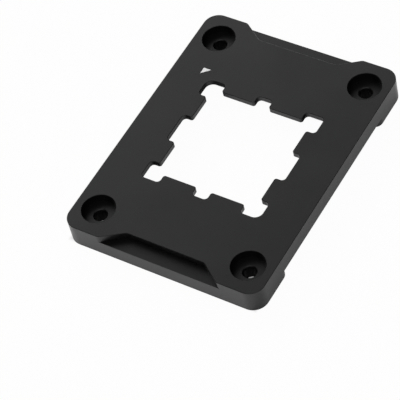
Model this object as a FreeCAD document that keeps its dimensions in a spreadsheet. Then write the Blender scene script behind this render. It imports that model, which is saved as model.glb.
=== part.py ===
import FreeCAD
import Part
import Sketcher
import os

# A CPU socket retention frame: one aluminium plate, milled from solid. Four screws hold it down over the
# socket, and the eight tabs round its window press on the rim of the processor.
# The origin is the middle of the underside. X runs across the frame, Y along it and Z up, in millimetres.

# Every driving size: its name, its value and what it measures.
SIZES = [
    ("screw_spacing_x", 40.0, "Between screw centres, across the frame"),
    ("screw_spacing_y", 56.2, "Between screw centres, along the frame"),
    ("side_margin", 6.1, "From a screw centre out to the side face"),
    ("end_margin", 7.0, "From a screw centre out to the end face"),
    ("foot_margin", 5.9, "From a screw centre in to the inner wall of the bar that the end stands on"),
    ("frame_height", 6.5, "From the underside to the top face"),
    ("corner_radius", 3.7, "Upright outer corners"),
    ("side_lift", 2.05, "Gap beneath the long sides, where they pass over the socket"),
    ("foot_corner_radius", 2.1, "Where a foot's inner wall meets the side face"),
    ("package_size", 40.0, "The square package of the processor"),
    ("package_clearance", 0.5, "Room round the package, on each side"),
    ("recess_corner_radius", 1.5, "Corners of the recess for the package"),
    ("lip_thickness", 1.4, "The lip that is left above the recess"),
    ("window_size", 31.8, "The square window, from notch to notch"),
    ("tab_reach", 2.35, "How far a tab stands into the window"),
    ("side_notch_width", 8.1, "Between the two tabs of a long side"),
    ("side_tab_width", 6.9, "A tab on a long side"),
    ("end_notch_width", 3.94, "Between the two tabs of a short side"),
    ("end_tab_width", 8.9, "A tab on a short side"),
    ("tab_corner_radius", 0.6, "Outer corners of the tabs"),
    ("notch_corner_radius", 1.0, "Inner corners of the notches"),
    ("wide_corner_radius", 2.0, "Outer corner of two opposite corner notches"),
    ("screw_hole_diameter", 3.2, "Clearance hole for a screw"),
    ("counterbore_diameter", 8.2, "Counterbore for the screw's head"),
    ("counterbore_depth", 2.4, "Depth of the counterbore below the top face"),
    ("hole_mouth_break", 0.2, "Chamfer where a screw hole opens into its counterbore"),
    ("pocket_depth", 2.15, "Depth of the end pockets below the top face"),
    ("pocket_reach", 3.7, "From the end face in to the pocket's back wall"),
    ("pocket_back_width", 20.9, "Back wall, between the bends into the slanted walls"),
    ("pocket_wall_angle", 34.5, "Slant of the pocket's side walls, in degrees from the back wall"),
    ("pocket_bend_radius", 2.0, "Between the back wall and a slanted wall"),
    ("pocket_mouth_radius", 1.6, "Between a slanted wall and the end face"),
    ("edge_break", 0.1, "Chamfer on the edges of the top face and of the underside"),
]

# Lengths that follow from the sizes, as expressions on the sheet.
TOP = "Sizes.frame_height"
FRAME_WIDTH = "Sizes.screw_spacing_x + 2 * Sizes.side_margin"
FRAME_LENGTH = "Sizes.screw_spacing_y + 2 * Sizes.end_margin"
RELIEF_LENGTH = "Sizes.screw_spacing_y - 2 * Sizes.foot_margin"
RECESS_SIZE = "Sizes.package_size + 2 * Sizes.package_clearance"
RECESS_DEPTH = "Sizes.frame_height - Sizes.lip_thickness"
TAB_GAP = "Sizes.window_size - 2 * Sizes.tab_reach"
CORNER_NOTCH_X = "Sizes.end_notch_width / 2 + Sizes.end_tab_width"
CORNER_NOTCH_Y = "Sizes.side_notch_width / 2 + Sizes.side_tab_width"

# Two places less than this far apart are the same place.
SAME_PLACE = 0.001

document = FreeCAD.newDocument("socket_frame")

sheet = document.addObject("Spreadsheet::Sheet", "Sizes")
for row, (name, value, meaning) in enumerate(SIZES, start=1):
    sheet.set(f"A{row}", name)
    sheet.set(f"B{row}", str(value))
    sheet.set(f"C{row}", meaning)
    sheet.setAlias(f"B{row}", name)
document.recompute()

body = document.addObject("PartDesign::Body", "retention_frame")
body.Label = "retention_frame"
body.Placement = FreeCAD.Placement()


def origin_plane(role):
    return next(plane for plane in body.Origin.OriginFeatures if plane.Role == role)


def plan_sketch(name, height=None):
    """An empty sketch in plan view, on the underside or at the height given by an expression."""
    sketch = body.newObject("Sketcher::SketchObject", name)
    sketch.AttachmentSupport = (origin_plane("XY_Plane"), [""])
    sketch.MapMode = "FlatFace"
    if height:
        sketch.setExpression("AttachmentOffset.Base.z", height)
    return sketch


def draw_loop(sketch, points):
    """Straight lines from point to point and back to the first, joined end to end."""
    corners = [FreeCAD.Vector(x, y, 0) for x, y in points]
    for start, end in zip(corners, corners[1:] + corners[:1]):
        sketch.addGeometry(Part.LineSegment(start, end), False)
    for line in range(len(corners)):
        following = (line + 1) % len(corners)
        sketch.addConstraint(Sketcher.Constraint("Coincident", line, 2, following, 1))


def draw_rectangle(sketch, low, high):
    """A rectangle between two corners: line 0 is its near side, and the others follow anticlockwise."""
    draw_loop(sketch, [(low, low), (high, low), (high, high), (low, high)])
    for line, direction in enumerate(["Horizontal", "Vertical", "Horizontal", "Vertical"]):
        sketch.addConstraint(Sketcher.Constraint(direction, line))


def set_size(sketch, name, expression, kind, *places):
    """A named dimension of the sketch that follows the expression."""
    value_until_bound = 1.0
    number = sketch.addConstraint(Sketcher.Constraint(kind, *places, value_until_bound))
    sketch.renameConstraint(number, name)
    sketch.setExpression(f"Constraints.{name}", expression)


def centred_rectangle(name, width, length, height=None):
    """A sketch of a rectangle round the origin, with its width along X and its length along Y."""
    sketch = plan_sketch(name, height)
    draw_rectangle(sketch, -1, 1)
    sketch.addConstraint(Sketcher.Constraint("Symmetric", 0, 1, 2, 1, -1, 1))
    set_size(sketch, "width", width, "DistanceX", 0, 1, 0, 2)
    set_size(sketch, "length", length, "DistanceY", 1, 1, 1, 2)
    return sketch


def recompute_smaller(volume, name):
    """Recompute, and stop if the feature has taken nothing away from the given volume."""
    document.recompute()
    if body.Shape.Volume >= volume:
        raise RuntimeError(f"{name} cuts nothing")


def cut(name, sketch, depth=None, upward=False):
    """A pocket with the sketch's outline, through the plate or to the depth given by an expression."""
    volume = body.Shape.Volume
    pocket = body.newObject("PartDesign::Pocket", name)
    pocket.Profile = sketch
    pocket.Reversed = upward
    if depth:
        pocket.setExpression("Length", depth)
    else:
        pocket.Type = "ThroughAll"
    recompute_smaller(volume, name)
    return pocket


def mirror(name, feature, roles):
    """The feature repeated across each of the origin planes in turn."""
    volume = body.Shape.Volume
    repeat = body.newObject("PartDesign::MultiTransform", name)
    repeat.Originals = [feature]
    steps = []
    for role in roles:
        step = body.newObject("PartDesign::Mirrored", f"{name}_across_{role}")
        step.MirrorPlane = (origin_plane(role), [""])
        steps.append(step)
    repeat.Transformations = steps
    body.Tip = repeat
    recompute_smaller(volume, name)


def same(first, second):
    return abs(first - second) < SAME_PLACE


def upright_edges(chosen):
    """The names of the upright edges whose x and y pass the test."""
    names = []
    for number, edge in enumerate(body.Shape.Edges, start=1):
        box = edge.BoundBox
        if same(box.XLength, 0) and same(box.YLength, 0) and chosen(box.Center.x, box.Center.y):
            names.append(f"Edge{number}")
    return names


def level_edges(height, width=None):
    """The names of the edges that lie at one height, or of those among them that are so wide along X."""
    names = []
    for number, edge in enumerate(body.Shape.Edges, start=1):
        box = edge.BoundBox
        level = same(box.ZMin, height) and same(box.ZMax, height)
        if level and (width is None or same(box.XLength, width)):
            names.append(f"Edge{number}")
    return names


def dress_edges(kind, name, edges, size, expression):
    """A fillet or chamfer on the named edges, with its radius or size given by an expression."""
    feature = body.newObject(f"PartDesign::{kind}", name)
    feature.Base = (feature.BaseFeature, edges)
    feature.setExpression(size, expression)
    document.recompute()


# The plate.
plate = body.newObject("PartDesign::Pad", "plate")
plate.Profile = centred_rectangle("plate_plan", FRAME_WIDTH, FRAME_LENGTH)
plate.setExpression("Length", TOP)
document.recompute()
dress_edges("Fillet", "plate_corners", upright_edges(lambda x, y: True), "Radius", "Sizes.corner_radius")

half_width = sheet.screw_spacing_x / 2 + sheet.side_margin
half_length = sheet.screw_spacing_y / 2 + sheet.end_margin

# Underneath, a cut right across leaves a bar at each end for the frame to stand on, and lifts the long sides.
relief_plan = centred_rectangle("relief_plan", FRAME_WIDTH, RELIEF_LENGTH)
cut("side_relief", relief_plan, "Sizes.side_lift", upward=True)

foot_wall = sheet.screw_spacing_y / 2 - sheet.foot_margin
foot_corners = upright_edges(lambda x, y: same(abs(x), half_width) and same(abs(y), foot_wall))
dress_edges("Fillet", "foot_corners", foot_corners, "Radius", "Sizes.foot_corner_radius")

# The square recess for the processor's package ends at the underside of the lip.
recess_plan = centred_rectangle("recess_plan", RECESS_SIZE, RECESS_SIZE)
cut("package_recess", recess_plan, RECESS_DEPTH, upward=True)

half_recess = sheet.package_size / 2 + sheet.package_clearance
recess_corners = upright_edges(lambda x, y: same(abs(x), half_recess) and same(abs(y), half_recess))
dress_edges("Fillet", "recess_corners", recess_corners, "Radius", "Sizes.recess_corner_radius")

# The window through the lip: first the square between the tabs, then the notches beside the tabs.
cut("window", centred_rectangle("window_plan", TAB_GAP, TAB_GAP, TOP))

side_notch_plan = centred_rectangle("side_notch_plan", "Sizes.window_size", "Sizes.side_notch_width", TOP)
cut("side_notches", side_notch_plan)

end_notch_plan = centred_rectangle("end_notch_plan", "Sizes.end_notch_width", "Sizes.window_size", TOP)
cut("end_notches", end_notch_plan)

corner_notch_plan = plan_sketch("corner_notch_plan", TOP)
draw_rectangle(corner_notch_plan, 1, 2)
set_size(corner_notch_plan, "tab_side_x", CORNER_NOTCH_X, "DistanceX", -1, 1, 0, 1)
set_size(corner_notch_plan, "tab_side_y", CORNER_NOTCH_Y, "DistanceY", -1, 1, 0, 1)
set_size(corner_notch_plan, "outer_x", "Sizes.window_size / 2", "DistanceX", -1, 1, 2, 1)
set_size(corner_notch_plan, "outer_y", "Sizes.window_size / 2", "DistanceY", -1, 1, 2, 1)
corner_notch = cut("corner_notch", corner_notch_plan)
mirror("corner_notches", corner_notch, ["YZ_Plane", "XZ_Plane"])

# The cutter leaves every corner of the window round. Two opposite corner notches are rounder than the rest.
half_window = sheet.window_size / 2
half_tab_gap = half_window - sheet.tab_reach
wide_corners = upright_edges(lambda x, y: same(abs(x), half_window) and same(x, -y))
dress_edges("Fillet", "wide_corners", wide_corners, "Radius", "Sizes.wide_corner_radius")

notch_corners = upright_edges(lambda x, y: same(max(abs(x), abs(y)), half_window))
dress_edges("Fillet", "notch_corners", notch_corners, "Radius", "Sizes.notch_corner_radius")

tab_corners = upright_edges(lambda x, y: same(max(abs(x), abs(y)), half_tab_gap))
dress_edges("Fillet", "tab_corners", tab_corners, "Radius", "Sizes.tab_corner_radius")

# The pocket in the top of each end has a straight back wall and slanted sides that widen to the end face.
pocket_plan = plan_sketch("pocket_plan", TOP)
draw_loop(pocket_plan, [(-2, -2), (2, -2), (1, -1), (-1, -1)])
pocket_plan.addConstraint(Sketcher.Constraint("Symmetric", 0, 1, 0, 2, -2))
pocket_plan.addConstraint(Sketcher.Constraint("Symmetric", 2, 1, 2, 2, -2))
set_size(pocket_plan, "end_face", f"({FRAME_LENGTH}) / 2", "DistanceY", 0, 1, -1, 1)
set_size(pocket_plan, "reach", "Sizes.pocket_reach", "DistanceY", 0, 2, 1, 2)
set_size(pocket_plan, "back_width", "Sizes.pocket_back_width", "DistanceX", 2, 2, 2, 1)
set_size(pocket_plan, "wall_angle", "180 - Sizes.pocket_wall_angle", "Angle", 0, 1)
end_pocket = cut("end_pocket", pocket_plan, "Sizes.pocket_depth")
mirror("end_pockets", end_pocket, ["XZ_Plane"])

pocket_bends = upright_edges(lambda x, y: same(abs(y), half_length - sheet.pocket_reach))
dress_edges("Fillet", "pocket_bends", pocket_bends, "Radius", "Sizes.pocket_bend_radius")

end_face_reach = half_width - sheet.corner_radius - SAME_PLACE
pocket_mouths = upright_edges(lambda x, y: same(abs(y), half_length) and abs(x) < end_face_reach)
dress_edges("Fillet", "pocket_mouths", pocket_mouths, "Radius", "Sizes.pocket_mouth_radius")

# The burr is taken off round the feet, before the screws' holes are drilled through them.
dress_edges("Chamfer", "bottom_edges", level_edges(0), "Size", "Sizes.edge_break")

# Four counterbored screw holes.
screw_plan = plan_sketch("screw_plan", TOP)
for x, y in [(-1, -1), (1, -1), (1, 1), (-1, 1)]:
    screw_plan.addGeometry(Part.Point(FreeCAD.Vector(x, y, 0)), False)
screw_plan.addConstraint(Sketcher.Constraint("Symmetric", 0, 1, 1, 1, -2))
screw_plan.addConstraint(Sketcher.Constraint("Symmetric", 3, 1, 2, 1, -2))
screw_plan.addConstraint(Sketcher.Constraint("Symmetric", 0, 1, 3, 1, -1))
set_size(screw_plan, "spacing_x", "Sizes.screw_spacing_x", "DistanceX", 0, 1, 1, 1)
set_size(screw_plan, "spacing_y", "Sizes.screw_spacing_y", "DistanceY", 1, 1, 2, 1)
document.recompute()

volume_undrilled = body.Shape.Volume
screw_holes = body.newObject("PartDesign::Hole", "screw_holes")
screw_holes.Profile = screw_plan
screw_holes.DepthType = "ThroughAll"
screw_holes.setExpression("Diameter", "Sizes.screw_hole_diameter")
screw_holes.HoleCutType = "Counterbore"
screw_holes.HoleCutCustomValues = True
screw_holes.setExpression("HoleCutDiameter", "Sizes.counterbore_diameter")
screw_holes.setExpression("HoleCutDepth", "Sizes.counterbore_depth")
recompute_smaller(volume_undrilled, "screw_holes")

head_seat = sheet.frame_height - sheet.counterbore_depth
hole_mouths = level_edges(head_seat, sheet.screw_hole_diameter)
dress_edges("Chamfer", "hole_mouths", hole_mouths, "Size", "Sizes.hole_mouth_break")

# The burr is taken off all round the top face, at the counterbores and the window too.
dress_edges("Chamfer", "top_edges", level_edges(sheet.frame_height), "Size", "Sizes.edge_break")

# Nothing is written unless every feature has worked.
failed = [item.Name for item in document.Objects if "Invalid" in item.State or "Error" in item.State]
if failed:
    raise RuntimeError(f"Failed: {', '.join(failed)}")
if body.Shape.isNull() or not body.Shape.isValid():
    raise RuntimeError(f"{body.Label} is not a valid solid")

os.makedirs("parts", exist_ok=True)
body.Shape.exportStep(f"parts/{body.Label}.step")

extent = body.Shape.BoundBox
print(f"{body.Label}: {extent.XLength:.2f} x {extent.YLength:.2f} x {extent.ZLength:.2f} mm")
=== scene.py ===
import math
import bmesh
import bpy
from mathutils import Matrix, Vector


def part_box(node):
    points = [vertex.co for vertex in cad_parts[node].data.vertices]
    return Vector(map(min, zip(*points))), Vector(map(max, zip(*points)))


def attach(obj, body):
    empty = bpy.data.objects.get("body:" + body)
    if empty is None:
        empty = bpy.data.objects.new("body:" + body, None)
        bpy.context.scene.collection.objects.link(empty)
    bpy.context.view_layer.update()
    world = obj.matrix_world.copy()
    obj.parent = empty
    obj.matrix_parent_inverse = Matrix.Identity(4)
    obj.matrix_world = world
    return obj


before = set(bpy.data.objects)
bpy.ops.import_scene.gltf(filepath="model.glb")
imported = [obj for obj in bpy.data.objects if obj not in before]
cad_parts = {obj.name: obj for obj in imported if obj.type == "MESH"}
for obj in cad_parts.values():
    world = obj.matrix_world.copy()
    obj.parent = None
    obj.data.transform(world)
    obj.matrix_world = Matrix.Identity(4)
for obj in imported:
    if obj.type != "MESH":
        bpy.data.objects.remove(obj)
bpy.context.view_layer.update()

# The plate is the whole frame: one piece of aluminium, milled from solid, bead blasted to a fine, even
# grain and dyed black in the anodising bath. The dye takes in almost all light, and the sealed film over it
# has the gloss of dull satin. Along the edges that the cutter left, the dye is a little thinner.
DEEP_DYE = (0.0008, 0.0008, 0.0009, 1.0)
THIN_DYE = (0.0018, 0.0018, 0.0019, 1.0)
EDGE_DYE = (0.0060, 0.0060, 0.0062, 1.0)
DYE_PATCH = 0.011
DYE_PATCH_DETAIL = 4.0
EDGE_REACH = 0.00012
EVENNESS_WHERE_EDGE_BEGINS = 0.999
EVENNESS_ON_EDGE = 0.93
SEALED_FILM_IOR = 1.42
SATIN_SMOOTHEST = 0.33
SATIN_ROUGHEST = 0.43
BEAD_DIMPLE = 0.00016
BEAD_DIMPLE_DETAIL = 2.0
DIMPLE_DEPTH = 0.000006

anodised = bpy.data.materials.new("black_anodised_aluminium")
anodised.use_nodes = True
nodes = anodised.node_tree.nodes
links = anodised.node_tree.links
film = nodes["Principled BSDF"]
film.inputs["IOR"].default_value = SEALED_FILM_IOR
place = nodes.new("ShaderNodeTexCoord")


def mottling(patch, detail):
    """How the surface varies from place to place, in uneven patches of about this size."""
    pattern = nodes.new("ShaderNodeTexNoise")
    pattern.inputs["Scale"].default_value = 1 / patch
    pattern.inputs["Detail"].default_value = detail
    links.new(place.outputs["Object"], pattern.inputs["Vector"])
    return pattern.outputs["Fac"]


def blended(share, first, second):
    """The first colour where the share is none, and the second where it is all. The first may be a blend."""
    blend = nodes.new("ShaderNodeMix")
    blend.data_type = "RGBA"
    blend.inputs["B"].default_value = second
    links.new(share, blend.inputs["Factor"])
    if isinstance(first, tuple):
        blend.inputs["A"].default_value = first
    else:
        links.new(first, blend.inputs["A"])
    return blend.outputs["Result"]


dye_patches = mottling(DYE_PATCH, DYE_PATCH_DETAIL)
face_dye = blended(dye_patches, DEEP_DYE, THIN_DYE)

rounded = nodes.new("ShaderNodeBevel")
rounded.inputs["Radius"].default_value = EDGE_REACH
flat_face = nodes.new("ShaderNodeNewGeometry")
evenness = nodes.new("ShaderNodeVectorMath")
evenness.operation = "DOT_PRODUCT"
links.new(rounded.outputs["Normal"], evenness.inputs[0])
links.new(flat_face.outputs["Normal"], evenness.inputs[1])
edge = nodes.new("ShaderNodeMapRange")
edge.inputs["From Min"].default_value = EVENNESS_WHERE_EDGE_BEGINS
edge.inputs["From Max"].default_value = EVENNESS_ON_EDGE
links.new(evenness.outputs["Value"], edge.inputs["Value"])
dye = blended(edge.outputs["Result"], face_dye, EDGE_DYE)
links.new(dye, film.inputs["Base Color"])

satin = nodes.new("ShaderNodeMapRange")
satin.inputs["To Min"].default_value = SATIN_SMOOTHEST
satin.inputs["To Max"].default_value = SATIN_ROUGHEST
links.new(dye_patches, satin.inputs["Value"])
links.new(satin.outputs["Result"], film.inputs["Roughness"])

blasted = nodes.new("ShaderNodeBump")
blasted.inputs["Distance"].default_value = DIMPLE_DEPTH
links.new(mottling(BEAD_DIMPLE, BEAD_DIMPLE_DETAIL), blasted.inputs["Height"])
links.new(blasted.outputs["Normal"], film.inputs["Normal"])

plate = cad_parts["retention_frame"]
plate.data.materials.clear()
plate.data.materials.append(anodised)

# The index mark is a small triangle at one corner of the window, which shows which way round the frame
# goes. A laser burns it through the black film, track by track, down to the bare pale metal of the plate.
TOP_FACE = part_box("retention_frame")[1][2]
MARK_CORNER = Vector((-0.01866, 0.01855))
MARK_WIDTH = 0.0020
MARK_LENGTH = 0.00187
MARK_RISE = 0.00001
BARE_METAL = (0.80, 0.80, 0.80, 1.0)
BURNT_METAL = (0.63, 0.63, 0.63, 1.0)
BARED_ROUGHNESS = 0.5
BEAM_TRACK = 0.00005
WAVELENGTH_AT_SCALE_ONE = 0.314


def join_loops(shape, first, second):
    """Closes the band between two loops that have the same number of corners, with one face to a side."""
    for corner in range(len(first)):
        following = (corner + 1) % len(first)
        shape.faces.new([first[corner], first[following], second[following], second[corner]])


mark_shape = bmesh.new()
mark_corners = [
    MARK_CORNER,
    MARK_CORNER - Vector((0, MARK_LENGTH)),
    MARK_CORNER + Vector((MARK_WIDTH, 0)),
]
foot = [mark_shape.verts.new((corner.x, corner.y, TOP_FACE - MARK_RISE)) for corner in mark_corners]
face = [mark_shape.verts.new((corner.x, corner.y, TOP_FACE + MARK_RISE)) for corner in mark_corners]
mark_shape.faces.new(reversed(foot))
mark_shape.faces.new(face)
join_loops(mark_shape, foot, face)
mark_mesh = bpy.data.meshes.new("index_mark")
mark_shape.to_mesh(mark_mesh)
mark_shape.free()
index_mark = bpy.data.objects.new("index_mark", mark_mesh)
bpy.context.collection.objects.link(index_mark)

lasered = bpy.data.materials.new("laser_bared_aluminium")
lasered.use_nodes = True
nodes = lasered.node_tree.nodes
links = lasered.node_tree.links
metal = nodes["Principled BSDF"]
metal.inputs["Metallic"].default_value = 1.0
metal.inputs["Roughness"].default_value = BARED_ROUGHNESS
place = nodes.new("ShaderNodeTexCoord")
beam_tracks = nodes.new("ShaderNodeTexWave")
beam_tracks.inputs["Scale"].default_value = WAVELENGTH_AT_SCALE_ONE / BEAM_TRACK
links.new(place.outputs["Object"], beam_tracks.inputs["Vector"])
burn = blended(beam_tracks.outputs["Fac"], BARE_METAL, BURNT_METAL)
links.new(burn, metal.inputs["Base Color"])
mark_mesh.materials.append(lasered)
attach(index_mark, "root")

# The table that the frame lies on is a wide sheet in matt white paint, drawn as rings from its edge inwards.
# A ring says how far it reaches across and along, and how open the table is there to the camera, which sees
# it white, and to reflections, which see it glow. Where it is less open, the frame's shade is painted on it:
# dark under the bars, dark in reflections under the recess and the lip, lighter in the window away from its
# left and far walls, and half dark at the frame's foot, widest on its right. It is clear from below.
TABLE_WHITE = (0.9, 0.9, 0.9, 1.0)
TABLE_TOP = -0.00002
GLOW_TO_CAMERA = 0.97
GLOW_IN_REFLECTIONS = 0.66
# Painted shade: how much white and glow is left open at the frame's foot and under its bars.
PAINTED_SHADE_OPENNESS_AT_FOOT = 0.5
PAINTED_SHADE_OPENNESS_UNDER_BARS = 0.2
# Each ring: its reach across, its reach along, and how open it is to the camera and to reflections; lower is
# painted shade.
TABLE_RINGS = {
    "edge of the sheet": ((-3.0000, 3.0000), (-3.0000, 3.0000), 1.0, 1.0),
    "beside the frame": ((-0.0263, 0.0340), (-0.0354, 0.0354), 1.0, 1.0),
    "foot of the frame": ((-0.0260, 0.0250), (-0.0351, 0.0351), 1.0, PAINTED_SHADE_OPENNESS_AT_FOOT),
    "outside of the bars": ((-0.0245, 0.0225), (-0.0335, 0.0335), PAINTED_SHADE_OPENNESS_UNDER_BARS, 0.0),
    "inside of the bars": ((-0.0205, 0.0205), (-0.0225, 0.0225), PAINTED_SHADE_OPENNESS_UNDER_BARS, 0.0),
    "recess": ((-0.0190, 0.0190), (-0.0190, 0.0190), 1.0, 0.0),
    "lip": ((-0.0145, 0.0162), (-0.0162, 0.0155), 1.0, 0.0),
    "window": ((-0.0115, 0.0150), (-0.0150, 0.0140), 1.0, 1.0),
}

table_shape = bmesh.new()
rings = []
corner_painted_shade_openness = []
for (left, right), (near, far), painted_shade_open_to_camera, painted_shade_open_to_reflections in TABLE_RINGS.values():
    corners = [(left, near), (right, near), (right, far), (left, far)]
    rings.append([table_shape.verts.new((x, y, TABLE_TOP)) for x, y in corners])
    corner_painted_shade_openness += [(painted_shade_open_to_camera, painted_shade_open_to_reflections, 0.0, 1.0)] * len(corners)
for outer, inner in zip(rings, rings[1:]):
    join_loops(table_shape, outer, inner)
table_shape.faces.new(rings[-1])
table_mesh = bpy.data.meshes.new("table")
table_shape.to_mesh(table_mesh)
table_shape.free()
# The rings' open shares go on the table's corners as a colour, which carries the painted shade.
painted_shade_openness = table_mesh.attributes.new("painted_shade_openness", "FLOAT_COLOR", "POINT")
for corner, shares in zip(painted_shade_openness.data, corner_painted_shade_openness):
    corner.color = shares
table = bpy.data.objects.new("table", table_mesh)
bpy.context.collection.objects.link(table)

paint = bpy.data.materials.new("matt_white_table")
paint.use_nodes = True
paint.cycles.emission_sampling = "NONE"
nodes = paint.node_tree.nodes
links = paint.node_tree.links
nodes.clear()


def worked_out(operation, first, second):
    """One sum in a material or in the studio's light. Each term is a number or another sum's outcome."""
    step = nodes.new("ShaderNodeMath")
    step.operation = operation
    for socket, term in zip(step.inputs, (first, second)):
        if isinstance(term, float):
            socket.default_value = term
        else:
            links.new(term, socket)
    return step.outputs["Value"]


ray = nodes.new("ShaderNodeLightPath")
# Reads the painted shade off the table's corners.
painted_shade_here = nodes.new("ShaderNodeAttribute")
painted_shade_here.attribute_name = "painted_shade_openness"
painted_shade_open_to = nodes.new("ShaderNodeSeparateColor")
links.new(painted_shade_here.outputs["Color"], painted_shade_open_to.inputs["Color"])

matt = nodes.new("ShaderNodeBsdfDiffuse")
matt.inputs["Color"].default_value = TABLE_WHITE
glow = nodes.new("ShaderNodeEmission")
# Reflections see the table's glow, dimmed where shade is painted.
glossy_past_painted_shade = worked_out("MULTIPLY", ray.outputs["Is Glossy Ray"], painted_shade_open_to.outputs["Green"])
links.new(worked_out("MULTIPLY", glossy_past_painted_shade, GLOW_IN_REFLECTIONS), glow.inputs["Strength"])
glowing = nodes.new("ShaderNodeAddShader")
links.new(matt.outputs["BSDF"], glowing.inputs[0])
links.new(glow.outputs["Emission"], glowing.inputs[1])

white = nodes.new("ShaderNodeEmission")
from_above = nodes.new("ShaderNodeMixShader")
# The camera sees the table white, less so where shade is painted under the bars, where the lit matt paint
# shows.
camera_past_painted_shade = worked_out("MULTIPLY", ray.outputs["Is Camera Ray"], painted_shade_open_to.outputs["Red"])
links.new(worked_out("MULTIPLY", camera_past_painted_shade, GLOW_TO_CAMERA), from_above.inputs["Fac"])
links.new(glowing.outputs["Shader"], from_above.inputs[1])
links.new(white.outputs["Emission"], from_above.inputs[2])

side = nodes.new("ShaderNodeNewGeometry")
clear = nodes.new("ShaderNodeBsdfTransparent")
from_either_side = nodes.new("ShaderNodeMixShader")
links.new(side.outputs["Backfacing"], from_either_side.inputs["Fac"])
links.new(from_above.outputs["Shader"], from_either_side.inputs[1])
links.new(clear.outputs["BSDF"], from_either_side.inputs[2])
surface = nodes.new("ShaderNodeOutputMaterial")
links.new(from_either_side.outputs["Shader"], surface.inputs["Surface"])
table_mesh.materials.append(paint)

# The studio light is six large softboxes in a dark room. Two bright ones stand low beyond the frame's left
# side and its far left corner, and dim ones fill in from the other sides and overhead. Each is brightest in
# its middle and fades evenly outwards. The camera sees plain white behind them.
SOFTBOXES = {
    "left": (165, 30, 4.3),
    "far left corner": (120, 10, 5.9),
    "near side": (270, 50, 1.3),
    "right": (0, 50, 0.9),
    "near right corner": (315, 35, 0.8),
    "overhead": (0, 90, 0.4),
}
SOFTBOX_SPREAD = math.radians(14.0)
PLAIN_WHITE = (1.0, 1.0, 1.0, 1.0)

studio = bpy.data.worlds.new("studio")
studio.use_nodes = True
bpy.context.scene.world = studio
nodes = studio.node_tree.nodes
links = studio.node_tree.links
nodes.clear()

direction = nodes.new("ShaderNodeTexCoord")
brightness = 0.0
for azimuth, elevation, strength in SOFTBOXES.values():
    height = math.sin(math.radians(elevation))
    reach = math.cos(math.radians(elevation))
    softbox = nodes.new("ShaderNodeVectorMath")
    softbox.operation = "DOT_PRODUCT"
    softbox.inputs[1].default_value = (
        reach * math.cos(math.radians(azimuth)),
        reach * math.sin(math.radians(azimuth)),
        height,
    )
    links.new(direction.outputs["Generated"], softbox.inputs[0])
    off_middle = worked_out("SUBTRACT", softbox.outputs["Value"], 1.0)
    fading = worked_out("MULTIPLY", off_middle, SOFTBOX_SPREAD ** -2)
    share = worked_out("POWER", math.e, fading)
    brightness = worked_out("ADD", worked_out("MULTIPLY", share, strength), brightness)

softboxes = nodes.new("ShaderNodeBackground")
softboxes.inputs["Color"].default_value = PLAIN_WHITE
links.new(brightness, softboxes.inputs["Strength"])
white_room = nodes.new("ShaderNodeBackground")
white_room.inputs["Color"].default_value = PLAIN_WHITE
ray = nodes.new("ShaderNodeLightPath")
room = nodes.new("ShaderNodeMixShader")
links.new(ray.outputs["Is Camera Ray"], room.inputs["Fac"])
links.new(softboxes.outputs["Background"], room.inputs[1])
links.new(white_room.outputs["Background"], room.inputs[2])
surroundings = nodes.new("ShaderNodeOutputWorld")
links.new(room.outputs["Shader"], surroundings.inputs["Surface"])

# The camera looks down from over the near right corner through a long lens, half a metre away. It is turned
# a little about its own line of sight, so that the frame lies slanted in the picture.
CAMERA_AZIMUTH = math.radians(42.068)
CAMERA_ELEVATION = math.radians(51.441)
CAMERA_ROLL = math.radians(14.997)
CAMERA_DISTANCE = 0.49677
AIM = Vector((-0.004768, -0.010491, -0.003661))
LENS = 190.31
FILM_WIDTH = 36.0
NEAREST_SEEN = 0.01

away = math.cos(CAMERA_ELEVATION)
back = Vector((
    math.sin(CAMERA_AZIMUTH) * away,
    -math.cos(CAMERA_AZIMUTH) * away,
    math.sin(CAMERA_ELEVATION),
))
level = Vector((0, 0, 1)).cross(back).normalized()
upright = back.cross(level)
right = level * math.cos(CAMERA_ROLL) - upright * math.sin(CAMERA_ROLL)
up = back.cross(right)
turned = Matrix((right, up, back)).transposed().to_4x4()
camera_data = bpy.data.cameras.new("camera")
camera_data.lens = LENS
camera_data.sensor_width = FILM_WIDTH
camera_data.clip_start = NEAREST_SEEN
camera = bpy.data.objects.new("camera", camera_data)
camera.matrix_world = Matrix.Translation(AIM + back * CAMERA_DISTANCE) @ turned
bpy.context.collection.objects.link(camera)
bpy.context.scene.camera = camera
bpy.context.scene.view_settings.view_transform = "Standard"
